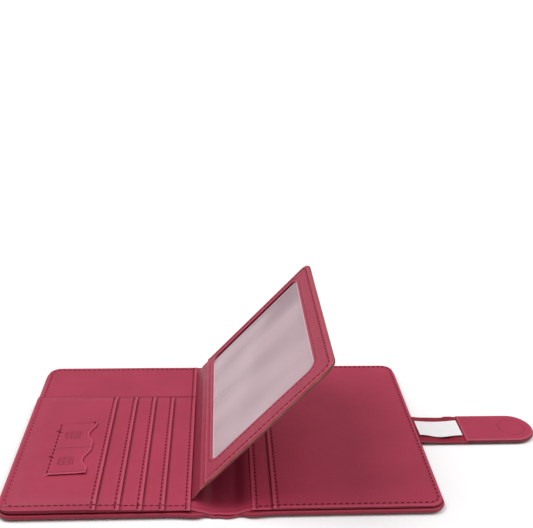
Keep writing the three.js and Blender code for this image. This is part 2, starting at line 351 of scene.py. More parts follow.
def three_sides(start, edge, low, high, radius):
    """A path along y = low from x = start to edge, across to y = high, and back to start."""
    return rounded_path([(start, low), (edge, low), (edge, high), (start, high)], radius)


def run_along(path):
    """The distance along a polyline at each of its points."""
    return np.concatenate([[0.0], np.cumsum(np.hypot(*np.diff(path, axis=0).T))])


def sampled(path, marks):
    """A polyline's two coordinates, and those of its unit normal, at the distances marks."""
    run = run_along(path)
    u, v = np.interp(marks, run, path[:, 0]), np.interp(marks, run, path[:, 1])
    tu, tv = np.gradient(u, marks), np.gradient(v, marks)
    size = np.hypot(tu, tv)
    return u, v, -tv / size, tu / size


def stitch_faces(count):
    """Faces of stitches that have six rings of six points each."""
    faces = []
    for first in range(0, count * 36, 36):
        for a in range(first, first + 30, 6):
            for k in range(6):
                m = (k + 1) % 6
                faces.append((a + k, a + m, a + 6 + m, a + 6 + k))
        faces.append(tuple(first + k for k in range(5, -1, -1)))
        faces.append(tuple(first + 30 + k for k in range(6)))
    return faces


def stitch_row(path, pitch, length, width, surface, up=1.0):
    """Points and faces of slightly slanted stitches lying on surface(x, y) along a plan path."""
    path = np.array(path)
    run = run_along(path)
    count = max(1, int(run[-1] // pitch))
    middles = (np.arange(count) + 0.5) * run[-1] / count
    along = np.array([-0.5, -0.43, -0.22, 0.22, 0.43, 0.5]) * length
    swell = np.array([0.35, 0.85, 1.0, 1.0, 0.85, 0.35]) * width / 2
    rise = np.array([-0.9, -0.15, 0.4, 0.4, -0.15, -0.9]) * width / 2

    def at(distance):
        return [np.interp(distance, run, path[:, k]) for k in (0, 1)]

    x, y = at(middles[:, None] + along)
    ahead = at(np.minimum(middles + 0.2, run[-1])[:, None])
    behind = at(np.maximum(middles - 0.2, 0.0)[:, None])
    tx, ty = ahead[0] - behind[0], ahead[1] - behind[1]
    size = np.hypot(tx, ty)
    side_x, side_y = -ty / size, tx / size
    x, y = x + side_x * along * 0.1, y + side_y * along * 0.1
    angles = np.arange(6) * math.pi / 3
    out = swell[:, None] * np.cos(angles)
    ring_x = x[..., None] + side_x[..., None] * out
    ring_y = y[..., None] + side_y[..., None] * out
    level = surface(x, y)[..., None] + up * rise[:, None]
    ring_z = level + 0.8 * swell[:, None] * np.sin(angles)
    return np.stack([ring_x, ring_y, ring_z], axis=-1).reshape(-1, 3), stitch_faces(count)


def inner_row(path, surface, sink=0.1, length=INNER_STITCH, width=INNER_THREAD, up=1.0):
    """A row of the inner thread, sunk into a surface."""
    return stitch_row(path, INNER_PITCH, length, width, lambda u, v: surface(u, v) - sink, up)


def add_thread(name, rows, material, place=None):
    """One object from several rows of stitches."""
    points, faces, first = [], [], 0
    for row_points, row_faces in rows:
        points.append(row_points)
        faces += [tuple(first + k for k in face) for face in row_faces]
        first += len(row_points)
    return add_mesh(name, np.concatenate(points), faces, material, place=place)


# ---------- materials: scales and bump distances in metres ----------

def srgb(red, green, blue):
    """An sRGB colour, 0 to 255, as linear RGBA."""
    def linear(value):
        value /= 255.0
        return value / 12.92 if value <= 0.04045 else ((value + 0.055) / 1.055) ** 2.4
    return (linear(red), linear(green), linear(blue), 1.0)


class Recipe:
    """A new node material with short calls for the nodes that these materials share."""

    def __init__(self, name):
        self.material = bpy.data.materials.new(name)
        self.material.use_nodes = True
        self.nodes = self.material.node_tree.nodes
        self.links = self.material.node_tree.links
        self.shader = self.nodes["Principled BSDF"]
        self.where = self.nodes.new("ShaderNodeTexCoord").outputs["Object"]

    def put(self, socket, value):
        """Puts a link or a plain number or colour on a socket."""
        if isinstance(value, (int, float, tuple)):
            socket.default_value = value
        else:
            self.links.new(value, socket)

    def use(self, socket, value):
        """Puts a link or a plain number or colour on one of the shader's sockets."""
        self.put(self.shader.inputs[socket], value)

    def node(self, kind, output, inputs, **settings):
        """One output of a new node, with its settings and what goes on its inputs."""
        node = self.nodes.new(f"ShaderNode{kind}")
        for setting, value in settings.items():
            setattr(node, setting, value)
        for socket, value in inputs.items():
            self.put(node.inputs[socket], value)
        return node.outputs[output]

    def noise(self, scale, detail=4.0, stretch=(1.0, 1.0, 1.0), turn=0.0):
        mapping = {"Vector": self.where, "Scale": stretch, "Rotation": (0.0, 0.0, turn)}
        where = self.node("Mapping", "Vector", mapping)
        return self.node("TexNoise", "Fac", {"Vector": where, "Scale": scale, "Detail": detail})

    def cells(self, scale):
        return self.node("TexVoronoi", "Distance", {"Vector": self.where, "Scale": scale})

    def wave(self, scale, direction):
        inputs = {"Vector": self.where, "Scale": scale, "Distortion": 0.6, "Detail Scale": 2.0}
        return self.node("TexWave", "Fac", inputs, bands_direction=direction)

    def ranged(self, value, low, high, to_low, to_high):
        ends = {"From Min": low, "From Max": high, "To Min": to_low, "To Max": to_high}
        return self.node("MapRange", "Result", {"Value": value, **ends})

    def added(self, a, b, share):
        """a plus share times b."""
        return self.node("Math", "Value", {0: b, 1: share, 2: a}, operation="MULTIPLY_ADD")

    def mixed(self, share, a, b):
        """Colour a where share is 0 and b where it is 1."""
        colour_a, colour_b, result = 6, 7, 2
        return self.node("Mix", result, {"Factor": share, colour_a: a, colour_b: b}, data_type="RGBA")

    def attribute(self, name):
        return self.node("Attribute", "Fac", {}, attribute_name=name)

    def bump(self, height, strength, distance, after=None):
        inputs = {"Height": height, "Strength": strength, "Distance": distance}
        if after is not None:
            inputs["Normal"] = after
        return self.node("Bump", "Normal", inputs)

    def follow(self, pattern, colours, rough, bump, spread=(0.3, 0.7)):
        """A material whose colour, roughness and bump all follow one pattern."""
        self.use("Base Color", self.mixed(pattern, *colours))
        self.use("Roughness", self.ranged(pattern, *spread, *rough))
        self.use("Normal", self.bump(pattern, *bump))
        return self.material


def make_leather(name, middle, deep, light):
    """Coated leather: mottled colour, painted shade in grooves and creases, painted highlights on rounded
    edges and a fine pebbled grain.
    """
    r = Recipe(name)
    painted_light = r.attribute("painted_light")
    colour = r.mixed(r.ranged(r.noise(38.0, 5.0), 0.3, 0.7, 0.0, 0.2), middle, deep)
    # Painted shade: towards the deep colour where the per-point value is below 0
    colour = r.mixed(r.ranged(painted_light, -1.0, 0.0, 1.0, 0.0), colour, deep)
    # Painted highlight: towards the light colour where the per-point value is above 0
    r.use("Base Color", r.mixed(r.ranged(painted_light, 0.0, 1.0, 0.0, 1.0), colour, light))
    r.use("Roughness", r.ranged(r.noise(220.0, 3.0), 0.3, 0.7, 0.4, 0.52))
    grain = r.added(r.cells(1250.0), r.noise(2600.0, 3.0), 0.5)
    dents = r.bump(r.noise(90.0, 3.0), 0.12, 0.0004)
    r.use("Normal", r.bump(grain, 0.3, 0.00009, after=dents))
    r.use("Specular IOR Level", 0.35)
    return r.material


def make_thread(name, middle, deep):
    """Twisted polyester thread: fine slanted ply and a dull gloss."""
    r = Recipe(name)
    r.use("Specular IOR Level", 0.2)
    ply = r.wave(900.0, "DIAGONAL")
    return r.follow(ply, (middle, deep), (0.6, 0.8), (0.4, 0.0001), spread=(0.0, 1.0))


def make_film():
    """Milky plastic film: soft slanted streaks of painted reflection in its colour, which its roughness
    and bump follow, and a painted highlight along its rim.
    """
    r = Recipe("window_film_plastic")
    streak = r.noise(62.0, 0.0, stretch=(0.16, 1.0, 0.16), turn=0.22)
    painted_reflection = r.ranged(streak, 0.3, 0.7, 0.0, 1.0)
    # Painted reflection: soft lighter streaks in the colour
    colour = r.mixed(painted_reflection, srgb(164, 135, 144), srgb(190, 164, 171))
    # Painted highlight along the rim
    r.use("Base Color", r.mixed(r.attribute("painted_light"), colour, srgb(228, 198, 204)))
    r.use("Roughness", r.ranged(streak, 0.3, 0.7, 0.24, 0.38))
    r.use("Normal", r.bump(streak, 0.12, 0.002))
    r.use("Coat Weight", 0.35)
    r.use("Coat Roughness", 0.12)
    return r.material


def make_foil():
    """Hot-stamped rose-gold foil, finely creased by the grain underneath."""
    r = Recipe("gold_foil")
    patchy = r.noise(620.0, 4.0)
    r.use("Base Color", r.mixed(patchy, srgb(234, 200, 166), srgb(206, 164, 130)))
    r.use("Metallic", 0.4)
    r.use("Roughness", r.ranged(patchy, 0.3, 0.7, 0.36, 0.5))
    r.use("Normal", r.bump(r.cells(1250.0), 0.25, 0.00006))
    return r.material


def make_edge_paint(name, middle, deep):
    """Edge paint, brushed on unevenly, with painted shade where the per-point painted-light value is
    below 0.
    """
    r = Recipe(name)
    brushed = r.noise(150.0, 5.0, stretch=(1.0, 0.3, 1.0))
    colour = r.mixed(r.ranged(brushed, 0.3, 0.7, 0.0, 0.8), middle, deep)
    # Painted shade towards the deep colour
    r.use("Base Color", r.mixed(r.ranged(r.attribute("painted_light"), -1.0, 0.0, 1.0, 0.0), colour, deep))
    r.use("Roughness", r.ranged(brushed, 0.3, 0.7, 0.35, 0.6))
    r.use("Normal", r.bump(brushed, 0.3, 0.0002))
    return r.material


def make_woven():
    """White satin label with fine warp and weft."""
    r = Recipe("woven_label")
    weave = r.added(r.wave(1500.0, "X"), r.wave(1500.0, "Y"), 0.7)
    shade = r.ranged(weave, 0.2, 1.5, 0.0, 1.0)
    r.use("Base Color", r.mixed(shade, srgb(226, 224, 226), srgb(246, 245, 246)))
    r.use("Roughness", r.ranged(weave, 0.0, 1.6, 0.45, 0.7))
    r.use("Normal", r.bump(weave, 0.35, 0.0001))
    r.use("Sheen Weight", 0.3)
    return r.material


def make_foam():
    """Open-cell foam."""
    r = Recipe("foam")
    colours = srgb(238, 234, 222), srgb(206, 200, 186)
    return r.follow(r.cells(900.0), colours, (0.8, 0.95), (0.6, 0.0004), spread=(0.0, 1.0))


def make_board():
    """Grey bookbinding board with pressed fibres."""
    r = Recipe("grey_board")
    fibre = r.noise(700.0, 6.0, stretch=(1.0, 0.25, 1.0))
    colours = srgb(150, 146, 140), srgb(118, 113, 106)
    return r.follow(fibre, colours, (0.75, 0.92), (0.4, 0.0002))


def make_steel():
    """Plated snap disc with a fine turned finish."""
    r = Recipe("snap_steel")
    r.use("Metallic", 1.0)
    turned = r.noise(500.0, 4.0, stretch=(1.0, 6.0, 1.0))
    colours = srgb(192, 192, 196), srgb(150, 150, 156)
    return r.follow(turned, colours, (0.25, 0.4), (0.2, 0.0001))


def make_floor():
    """Plain pale studio floor with a faint paper tooth."""
    r = Recipe("pale_floor")
    colours = (0.94, 0.94, 0.94, 1.0), (0.92, 0.92, 0.92, 1.0)
    return r.follow(r.noise(300.0, 4.0), colours, (0.6, 0.75), (0.05, 0.0002))


# ---------- frame ----------

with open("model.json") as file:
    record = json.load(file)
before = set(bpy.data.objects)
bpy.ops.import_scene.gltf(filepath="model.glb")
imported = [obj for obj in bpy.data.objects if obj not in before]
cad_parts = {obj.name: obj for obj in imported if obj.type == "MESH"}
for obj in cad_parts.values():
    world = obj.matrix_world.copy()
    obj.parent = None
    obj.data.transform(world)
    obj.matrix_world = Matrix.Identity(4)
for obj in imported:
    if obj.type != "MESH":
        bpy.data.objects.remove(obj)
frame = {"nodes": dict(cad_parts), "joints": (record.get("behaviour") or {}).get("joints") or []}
cad_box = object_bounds()
joints = {joint["name"]: joint for joint in frame["joints"]}

PAGE_LEAN = math.radians(-joints["page_press"]["range_deg"][0])
PAGE_FOLD = [value / MM for value in joints["page_tab_fold"]["pos_m"]]

# In each leather the third colour is the painted highlight, and the second is both the mottling and the
# painted shade
outer_leather = make_leather("outer_leather", srgb(142, 30, 52), srgb(98, 12, 29), srgb(178, 68, 87))
inner_leather = make_leather("inner_leather", srgb(165, 52, 77), srgb(112, 20, 42), srgb(200, 88, 108))
outer_thread = make_thread("outer_thread", srgb(58, 10, 20), srgb(38, 6, 12))
inner_thread = make_thread("inner_thread", srgb(120, 16, 38), srgb(90, 10, 28))
film_plastic = make_film()
gold_foil = make_foil()
edge_paint = make_edge_paint("page_edge_bronze", srgb(176, 96, 78), srgb(92, 34, 34))
strap_edge = make_edge_paint("strap_edge_brown", srgb(104, 40, 42), srgb(78, 22, 30))
woven_label = make_woven()
foam = make_foam()


def span(node):
    """A CAD node's box in millimetres: x0, x1, y0, y1, z0, z1."""
    low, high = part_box(node)
    return low.x / MM, high.x / MM, low.y / MM, high.y / MM, low.z / MM, high.z / MM


def bend(piece, a, b, start, end):
    """Bakes a piece's placement into its points; the bodies a and b and the span from start to end are
    not used.
    """
    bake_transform(piece)


def bend_at_spine(piece, side):
    """Hands a piece to bend with its cover, the spine and the span of the fold, which only bakes its
    placement.
    """
    near, far = SPINE_BEND
    if side < 0:
        bend(piece, "spine", "front_cover", -near, -far)
    else:
        bend(piece, "back_cover", "spine", far, near)


def stand_for(piece, body, node):
    """Attaches a piece to the body that carries it and hides the CAD node that it stands for."""
    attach(piece, body)
    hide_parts(node)


# ---------- emblem recess ----------

def foil_triangles():
    """The triangles of the emblem's CAD node in plan."""
    mesh = frame["nodes"]["plane_emblem"].data
    mesh.calc_loop_triangles()
    level = min(v.co.z for v in mesh.vertices)
    for triangle in mesh.loop_triangles:
        corners = [mesh.vertices[k].co for k in triangle.vertices]
        if all(abs(c.z - level) < 1e-6 for c in corners):
            yield [(round(c.x / MM, 3), round(c.y / MM, 3)) for c in corners]


def foil_distance(x, y):
    """Distance from the emblem: 0 inside it."""
    nearest = np.full(x.shape, np.inf)
    for a, b, c in foil_triangles():
        turns = []
        for (px, py), (qx, qy) in ((a, b), (b, c), (c, a)):
            ux, uy, vx, vy = qx - px, qy - py, x - px, y - py
            t = np.clip((vx * ux + vy * uy) / (ux * ux + uy * uy), 0.0, 1.0)
            nearest = np.minimum(nearest, np.hypot(vx - t * ux, vy - t * uy))
            turns.append(np.sign(ux * vy - uy * vx))
        inside = np.all(np.stack(turns) >= 0, axis=0) | np.all(np.stack(turns) <= 0, axis=0)
        nearest = np.where(inside, 0.0, nearest)
    return nearest


# ---------- covers ----------

def half_outline(side, node, trim, radius, inner=0.0):
    """A CAD node's outline, trimmed on its three outer sides and run on to x = inner."""
    x0, x1, y0, y1, _, _ = span(node)
    reach = (x0 + trim, inner) if side < 0 else (inner, x1 - trim)
    return Outline(*reach, y0 + trim, y1 - trim, {(side, -1): radius, (side, 1): radius})


def cover_outline(side):
    """The outline of one cover's leather out to the spine's middle."""
    return half_outline(side, f"{NAMES[side]}_skin", 0.0, CORNER_RADIUS)


def cover_edges(side):
    """The three turned sides of a cover."""
    return ("left" if side < 0 else "right", "tail", "head")


def blow_up():
    """Blows up a cloth held along the covers' seam, and gives its rise from 0 to 1 on a grid."""
    box = span("front_skin")
    half_x, half_y = -box[0] - SEAM_INSET, box[3] - SEAM_INSET
    xs = np.linspace(-half_x, half_x, round(2 * half_x / CLOTH_STEP) + 1)
    ys = np.linspace(-half_y, half_y, round(2 * half_y / CLOTH_STEP) + 1)
    x, y = np.meshgrid(xs, ys, indexing="ij")
    points = np.stack([x, y, np.zeros(x.shape)], axis=-1).reshape(-1, 3)
    sheet = add_mesh("blown_leather", points, grid_faces(*x.shape), foam)
    radius = CORNER_RADIUS - SEAM_INSET
    corners = {(sx, sy): radius for sx in (-1, 1) for sy in (-1, 1)}
    sewn = Outline(-half_x, half_x, -half_y, half_y, corners).inset(x, y).reshape(-1) < 0.5
    held = sheet.vertex_groups.new(name="held")
    held.add([int(k) for k in np.flatnonzero(sewn)], 1.0, "REPLACE")
    cloth = sheet.modifiers.new("cloth", "CLOTH").settings
    cloth.vertex_group_mass = "held"
    cloth.effector_weights.gravity = 0.0
    cloth.use_pressure = True
    cloth.uniform_pressure_force = CLOTH_PRESSURE
    for number in range(1, CLOTH_FRAMES + 1):
        bpy.context.scene.frame_set(number)
    blown = sheet.evaluated_get(bpy.context.evaluated_depsgraph_get())
    rise = np.array([vertex.co.z for vertex in blown.data.vertices]).reshape(x.shape)
    bpy.context.scene.frame_set(1)
    bpy.data.objects.remove(sheet)
    knee = CLOTH_KNEE * np.abs(rise).max()
    return xs, ys, np.tanh(np.abs(rise) / knee) / math.tanh(1.0 / CLOTH_KNEE)


def leather_rise(x, y, d):
    """How fully the cover leather stands off its seam, 0 to 1."""
    if cloth_rise is None:
        return 1.0 - (1.0 - smooth((d - SEAM_INSET) / PILLOW_REACH)) ** 1.6
    xs, ys, rise = cloth_rise
    column = np.clip((x - xs[0]) / (xs[1] - xs[0]), 0.0, len(xs) - 1.001)
    row = np.clip((y - ys[0]) / (ys[1] - ys[0]), 0.0, len(ys) - 1.001)
    i, j = column.astype(int), row.astype(int)
    u, v = column - i, row - j
    near = rise[i, j] * (1.0 - v) + rise[i, j + 1] * v
    far = rise[i + 1, j] * (1.0 - v) + rise[i + 1, j + 1] * v
    return near * (1.0 - u) + far * u


def cover_outer(side, x, y):
    """Height of the cover's outside face, which bulges down over its foam."""
    outline = cover_outline(side)
    d = outline.inset(x, y, cover_edges(side))
    on_board = smooth((np.abs(x) - BOARD_EDGE) / 5.0)
    pillow = COVER_PILLOW * (0.35 + 0.65 * on_board)
    height = pillow * (1.0 - leather_rise(x, y, d))
    height = np.where(d < SEAM_INSET, pillow * 0.86, height)
    height = height + 0.42 * on_board * groove(d - SEAM_INSET, 1.9)
    height = height + 0.14 * groove(np.abs(x) - SPINE_FOLD, 4.0)
    middle = SKIN_MIDDLE - 0.9 * (1.0 - on_board)
    return rolled(height, middle, d, RIM_ROUND)


def cover_inner(side, x, y, d):
    """Height of the leather turned over the cover's rim, lower where the strap goes in."""
    turned = STRAP_SLOT + 1.76 * smooth((np.abs(x) - 4.0) / 8.0)
    if side > 0:
        slot = smooth((STRAP_HALF + 1.0 - np.abs(y)) / 0.6) * smooth((x - 100.0) / 2.0)
        turned = turned + (STRAP_SLOT - turned) * slot
    return turned + (SKIN_INNER - turned) * smooth((d - RIM_WIDTH) / 0.4)


def cover_grid(side):
    """A cover's grid, finer at the spine's folds and under the front's emblem."""
    near_x, near_y = [side * SPINE_FOLD, side * SPINE_EDGE], []
    if side < 0:
        x0, x1, y0, y1, _, _ = span("plane_emblem")
        near_x += list(np.arange(x0 - 1.0, x1 + 1.0, EMBLEM_STEP))
        near_y += list(np.arange(y0 - 1.0, y1 + 1.0, EMBLEM_STEP))
    return cover_outline(side).grid(COVER_STEP, near_x, near_y)


def cover_seam(side):
    """The stitches round a cover's three free sides."""
    outline = cover_outline(side)
    edge = outline.x0 + SEAM_INSET if side < 0 else outline.x1 - SEAM_INSET
    head, start = outline.y1 - SEAM_INSET, side * BOARD_EDGE
    path = three_sides(start, edge, -head, head, CORNER_RADIUS - SEAM_INSET)

    def surface(u, v):
        return cover_outer(side, u, v) - 0.12

    return stitch_row(path, OUTER_PITCH, OUTER_STITCH, OUTER_THREAD, surface, up=-1.0)


def build_cover(side):
    """One cover's padded leather, turned over its edges, with half of the spine."""
    x, y = cover_grid(side)
    d = cover_outline(side).inset(x, y, cover_edges(side))
    outer = cover_outer(side, x, y)
    middle = outer + 0.04
    inner = np.maximum(cover_inner(side, x, y, d), middle + 0.1)
    inner = rolled(inner, middle, d, RIM_ROUND)
    on_board = smooth((np.abs(x) - 8.6) / 2.4)
    # Painted highlight on the rounded rim and painted shade in the seam groove
    painted_light = 0.35 * groove(d - 0.5, 1.2) - 0.75 * groove(d - SEAM_INSET, 1.6) * on_board
    if side < 0:
        away = foil_distance(x, y)
        outer = outer + (EMBLEM_SEAT - outer) * (1.0 - smooth(away / 0.5))
        # Painted shade in a ring round the debossed emblem
        painted_light = painted_light - 0.95 * groove(away - 0.35, 1.5) * (away > 0)
    name = f"{NAMES[side]}_cover"
    cover = add_plate(f"{name}_leather", (x, y), inner, outer, outer_leather, painted_light, spine_end)
    thread = add_thread(f"{name}_thread", [cover_seam(side)], outer_thread, spine_end)
    if side < 0:
        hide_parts("front_skin", "spine_skin")
    else:
        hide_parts("back_skin")
    for piece in (cover, thread):
        bend_at_spine(piece, side)


def spine_dip(x):
    """1 along the spine, where the lining sinks, falling to 0 over the boards."""
    return 1.0 - smooth((np.abs(x) - 5.0) / 6.4)


def frill(x, y):
    """How far the leather's ends stand out past the spine in a soft wave."""
    wave = 0.55 + 0.3 * np.sin(x / 1.9 + 0.6) + 0.15 * np.sin(x / 1.1)
    return np.sign(y) * 1.1 * wave * spine_dip(x) * smooth((np.abs(y) - 62.0) / 8.0)


def spine_end(points):
    """Moves the cover leather's ends out in a wave beside the spine, and in on its folds."""
    x, y, z = points.T
    away = np.abs(x) - 13.6
    beside = 0.9 * np.exp(-(away / np.where(away > 0, 7.0, 3.2)) ** 2)
    on_fold = 0.7 * np.exp(-((np.abs(x) - 8.4) / 2.4) ** 2)
    out = np.sign(y) * (beside - on_fold) * smooth((np.abs(y) - 60.0) / 10.0)
    return np.stack([x, y + out + 0.75 * frill(x, y), z], axis=1)


def build_lining(side):
    """One cover's lining, which dips over the spine."""
    node = f"{NAMES[side]}_lining"
    outline = half_outline(side, node, LINING_TRIM, INNER_CORNER)
    x, y = outline.grid(LINING_STEP, near_x=[side * 8.0, side * 5.0])
    d = outline.inset(x, y, cover_edges(side))
    dip = spine_dip(x)
    crease = 0.14 * np.sin(y / 6.5 + 0.05 * x) * dip
    top = span(node)[5] - 1.65 * dip + crease - 0.16 * groove(d - SEAM_INSET, 1.2) * dip
    bottom = top - LINING_THICKNESS
    top = rolled(top, (top + bottom) / 2, d, 0.4)
    # Painted highlight on the rim and painted shade in the seam groove
    painted_light = 0.3 * groove(d - 0.4, 0.9) - 0.5 * groove(d - SEAM_INSET, 1.2)
    # Painted shade in the gutter along the spine, under the standing page
    painted_light = painted_light - 0.7 * smooth((15.0 - np.abs(x)) / 4.0) * smooth((70.0 - np.abs(y)) / 8.0)
    pulled = np.sign(y) * 1.5 * smooth((np.abs(x) - 11.5) / 4.0) * smooth((np.abs(y) - 50.0) / 20.0)
    plan = (x, y - pulled + 0.55 * frill(x, y))
    lining = add_plate(f"{node}_leather", plan, top, bottom, inner_leather, painted_light, under=UNDER_SHADE)
    if side < 0:
        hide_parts("front_lining", "spine_lining")
    else:
        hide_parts("back_lining")
    bend_at_spine(lining, side)


# ---------- panels and pockets on the front cover ----------

def pinch(x, y):
    """How much the pocket stack is squeezed: near its sewn sides and its head seam."""
    sides = np.minimum(x + 108.0, y + 70.5)
    at_sides = 0.4 * (1.0 - smooth((sides - 2.0) / 9.0))
    at_head = 0.6 * (1.0 - smooth((POCKET_HEAD - y) / 8.0))
    return np.maximum(at_sides, at_head)


def hem_lift(free):
    """How far a pocket's free edge stands off the leather below."""
    return 0.34 * smooth((4.5 - free) / 4.5)


def settled(level, x, y):
    """The height of a level of the pocket stack where the stack is squeezed and uneven."""
    return STACK_BASE + (level - STACK_BASE) * (1.0 - pinch(x, y)) + ripple(x, y)


def left_surface(x, y):
    """Height of whatever leather is on top of the front cover's panels."""
    top = np.full(np.shape(x), STACK_BASE)
    free = -SLIP_EDGE - x
    for node in POCKETS:
        _, edge, _, _, _, level = span(node)
        here = (x <= edge) & (y <= POCKET_HEAD)
        top = np.where(here, level, top)
        free = np.where(here, edge - x, free)
    return settled(top, x, y) + hem_lift(free) * (1.0 - pinch(x, y))


def pocket_profile(outline, x, y, sewn, level, thickness):
    """Top, bottom and painted light of a pocket with a rolled and stitched free edge on its right."""
    free = outline.x1 - x
    seam = outline.inset(x, y, sewn)
    lift = hem_lift(free) * (1.0 - pinch(x, y))
    bottom = settled(level - thickness, x, y) + 0.85 * lift
    top = settled(level, x, y) + lift - 0.2 * groove(free - HEM_SEAM, 1.2)
    top = top - 0.18 * groove(seam - SEAM_INSET, 1.3)
    top = rolled(top, bottom + 0.25 * (top - bottom), outline.inset(x, y), PANEL_ROUND)
    # Painted highlight on the hem's bead and the rim, painted shade in both stitch grooves
    painted_light = 0.6 * groove(free - 0.6, 1.5) - 0.25 * groove(free - HEM_SEAM, 1.1)
    painted_light = painted_light + 0.3 * groove(seam - 0.7, 1.5) - 0.25 * groove(seam - SEAM_INSET, 1.2)
    return top, bottom, painted_light


def add_slip_panel():
    """The long slip panel under the card pockets."""
    _, x1, _, _, z0, z1 = span("front_slip_panel")
    outline = half_outline(-1, "front_slip_panel", PANEL_TRIM, INNER_CORNER, inner=x1)
    x, y = outline.grid(INNER_STEP, near_x=[x1 - HEM_SEAM], near_y=[POCKET_HEAD])
    top, bottom, painted_light = pocket_profile(outline, x, y, cover_edges(-1), z1, z1 - z0)
    # Painted shadow in a line just above the pockets' head seam
    painted_light = painted_light - 0.9 * groove(y - POCKET_HEAD - 0.5, 1.8)
    return add_plate("front_slip_leather", (x, y), top, bottom, inner_leather, painted_light, under=UNDER_SHADE)


def add_card_pocket(node, above):
    """A card pocket, with a painted shadow beside the free edge of the pocket above it."""
    x0, x1, y0, y1, z0, z1 = span(node)
    outline = Outline(x0 + 0.25, x1, y0 + PANEL_TRIM, y1, {(-1, -1): INNER_CORNER})
    near_x = [x1 - HEM_SEAM] + ([span(above)[1]] if above else [])
    x, y = outline.grid(INNER_STEP, near_x=near_x, near_y=[y0 + TAIL_SEAM])
    top, bottom, painted_light = pocket_profile(outline, x, y, ("left",), z1, z1 - z0)
    tail = groove(y - y0 - TAIL_SEAM, 1.2)
    # Painted shade in the tail seam's groove and in a line along the head edge
    top, painted_light = top - 0.2 * tail, painted_light - 0.75 * tail - 0.9 * groove(y1 - y - 0.2, 1.8)
    # Painted shadow cast by the free edge of the pocket above
    if above:
        beside = x - span(above)[1]
        shade = groove(np.maximum(beside - 0.5, 0.0), 2.0) * (beside > -0.6)
        painted_light = painted_light - shade * (1.0 - 0.5 * pinch(x, y))
    wrap = 0.5 * smooth((HEM_SEAM + 0.6 - (x1 - x)) / 0.8) * (1.0 - smooth((y - y0) / 3.0))
    head_wave = 0.3 * np.sin(x / 8.0 + 0.6) + 0.25 * np.sin(x / 19.0)
    y = y - wrap + (head_wave - 0.3) * smooth((y - y1 + 12.0) / 12.0)
    return add_plate(f"{node}_leather", (x, y), top, bottom, inner_leather, painted_light, under=UNDER_SHADE)


def front_rows():
    """The stitches along the pockets' hems, round the slip panel and along its free edge."""
    rows = []
    for node in POCKETS[1:]:
        _, x1, y0, y1, _, _ = span(node)
        hem = x1 - HEM_SEAM
        rows.append(inner_row([(hem, y0 + 1.0), (hem, y1 - 0.8)], left_surface))
    x0, x1, y0, y1, _, _ = span("front_slip_panel")
    seam = SEAM_INSET + PANEL_TRIM
    left, right, tail, head = x0 + seam, x1 - HEM_SEAM, y0 + TAIL_SEAM, y1 - seam
    sewn = three_sides(right, left, tail, head, SEAM_CORNER)
    rows.append(inner_row(sewn, left_surface, 0.08, width=SUNK_THREAD))
    rows.append(inner_row([(right, y0 + 1.0), (right, y1 - 1.0)], left_surface, 0.08))
    return rows


def build_front_panels():
    """The slip panel and the card pockets inside the front cover."""
    stand_for(add_slip_panel(), "front_cover", "front_slip_panel")
    for node, above in zip(POCKETS, POCKETS[1:] + (None,)):
        stand_for(add_card_pocket(node, above), "front_cover", node)
    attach(add_thread("front_panel_thread", front_rows(), inner_thread), "front_cover")


def chip_groove(x, y, cx, cy):
    """Debossed generic chip: a rounded square with contact lines."""
    u, v = x - cx, y - cy
    qx, qy = np.abs(u) - 3.4, np.abs(v) - 2.1
    away = np.hypot(np.maximum(qx, 0), np.maximum(qy, 0)) + np.minimum(np.maximum(qx, qy), 0) - 0.9
    inside = away < 0
    marks = groove(away, 0.8)
    for line in (groove(v - 1.0, 0.7), groove(v + 1.0, 0.7), groove(np.abs(u) - 1.6, 0.7)):
        marks = np.maximum(marks, line * inside)
    return marks


def patch_skew(x):
    """How far the patch's head side lies from level at x."""
    x0, x1 = span("sim_patch")[:2]
    return PATCH_SLOPE * (x - (x0 + x1) / 2)


def patch_lift(x, y):
    """How fully the patch lifts at its tail and at its right."""
    _, x1, y0, _, _, _ = span("sim_patch")
    return 1.0 - smooth((y - y0) / PATCH_LIFT), smooth((x - x1 + PATCH_LIFT) / PATCH_LIFT)


def build_chip_patch():
    """The two-cell patch for small cards, sewn on slightly askew, with thumb notches on its right."""
    x0, x1, y0, y1, z0, z1 = span("sim_patch")
    outline = Outline(x0, x1, y0, y1)
    cell = (y1 - y0) / 2
    x, y = outline.grid(PATCH_STEP, near_y=[y1 - cell])
    share = ((y1 - y) / cell) % 1.0
    notch = smooth((share - 0.08) / 0.38) * (1.0 - smooth((share - 0.54) / 0.28))
    at_tail, at_right = patch_lift(x, y)
    lifted = 0.4 * at_tail + 0.25 * at_right
    lifted = (lifted + PATCH_CURL) * smooth((x - x0) / 4.0) - PATCH_CURL
    divider = groove(y - (y1 - cell), 0.9)
    seam = groove(x - x0 - PATCH_SEAM, 1.0)
    tail = groove(y - y0 - 1.8, 0.9)
    head = groove(y1 - y - 0.3, 1.0)
    marks = [chip_groove(x, y, (x0 + x1) / 2 - 0.4, y1 - k * cell) for k in (0.5, 1.5)]
    chips = np.maximum(*marks)
    top = settled(z1, x, y) + lifted - 0.18 * divider - 0.15 * seam - 0.15 * tail - 0.2 * chips
    bottom = settled(z0, x, y) + lifted
    top = rolled(top, (top + bottom) / 2, outline.inset(x, y), 0.5)
    rim = outline.inset(x, y, ("right", "tail"))
    # Painted highlight on the right and tail rim, painted shade in the divider, seam, tail and head lines
    # and in the debossed chips
    painted_light = 0.6 * groove(rim - 0.5, 1.2) - divider - 0.2 * seam - 0.9 * tail - chips - head
    x = x - NOTCH_DEPTH * notch * smooth((x - x0 - 9.0) / (x1 - x0 - 9.0))
    plan = (x, y + patch_skew(x))
    patch = add_plate("chip_patch_leather", plan, top, bottom, inner_leather, painted_light)
    stand_for(patch, "front_cover", "sim_patch")
    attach(add_thread("chip_patch_thread", patch_rows(), inner_thread), "front_cover")


